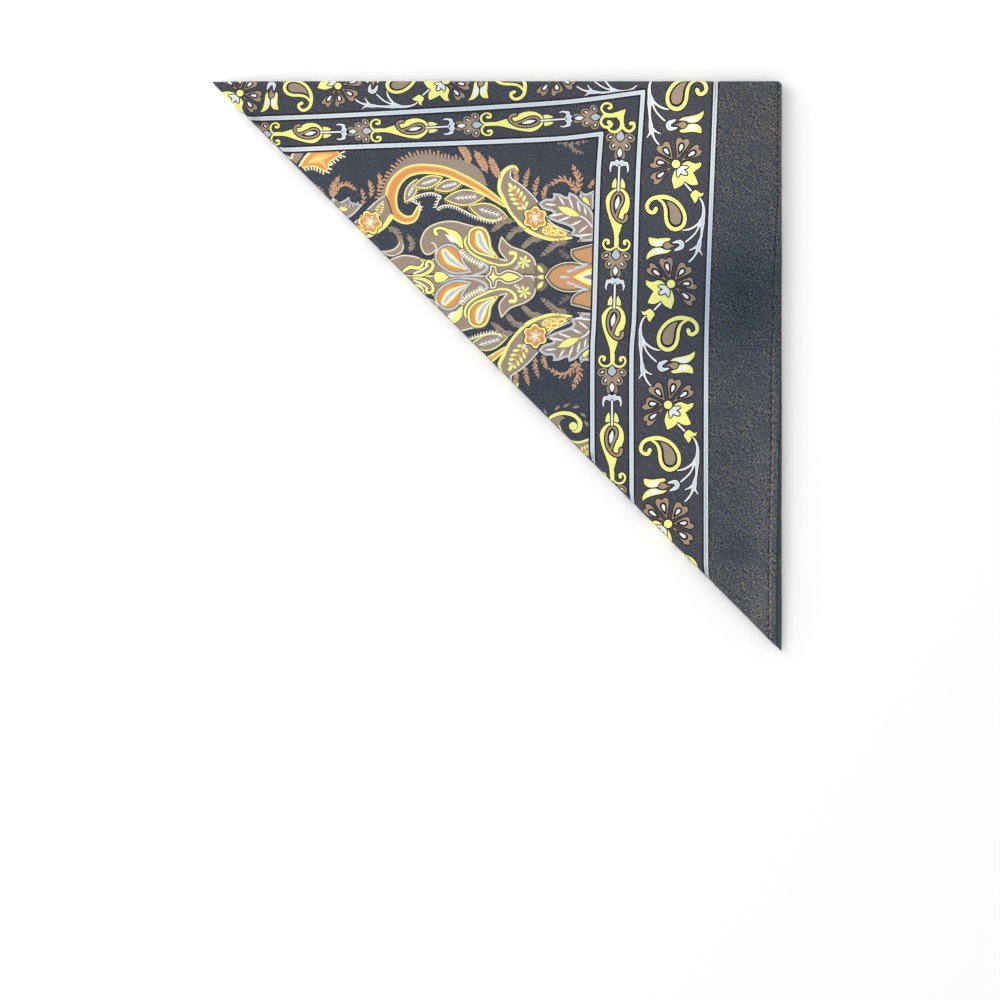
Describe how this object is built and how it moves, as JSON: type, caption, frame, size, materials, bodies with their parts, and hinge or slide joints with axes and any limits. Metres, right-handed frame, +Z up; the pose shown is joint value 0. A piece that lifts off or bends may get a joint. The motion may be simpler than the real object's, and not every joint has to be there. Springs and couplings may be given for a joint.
{
  "type": "folded neck scarf",
  "caption": "Printed cotton twill neck scarf with a stitched hem, folded flat into a right-angled triangle that lies on a surface.",
  "frame": {"origin": "middle of the bottom of the bounding box, on the surface the folded scarf lies on", "axes": "+Z up; +X along the folded edge from the sharp corner A to the right-angled corner B; +Y along the hemmed edge from the sharp corner C up to B"},
  "size_m": [0.2599, 0.26, 0.0059],
  "materials": {
    "printed_cotton": "matt cotton twill, faded dark indigo ground with a yellow, rust, taupe and pale blue print",
    "under_cotton": "matt cotton twill, dark blue-green hem",
    "inner_cotton": "matt cotton twill, the hidden folds of the same cloth"
  },
  "bodies": {
    "root": {"outer_fold": "printed_cotton", "under_stretch": "under_cotton", "inner_layers": "inner_cotton"}
  },
  "joints": []
}
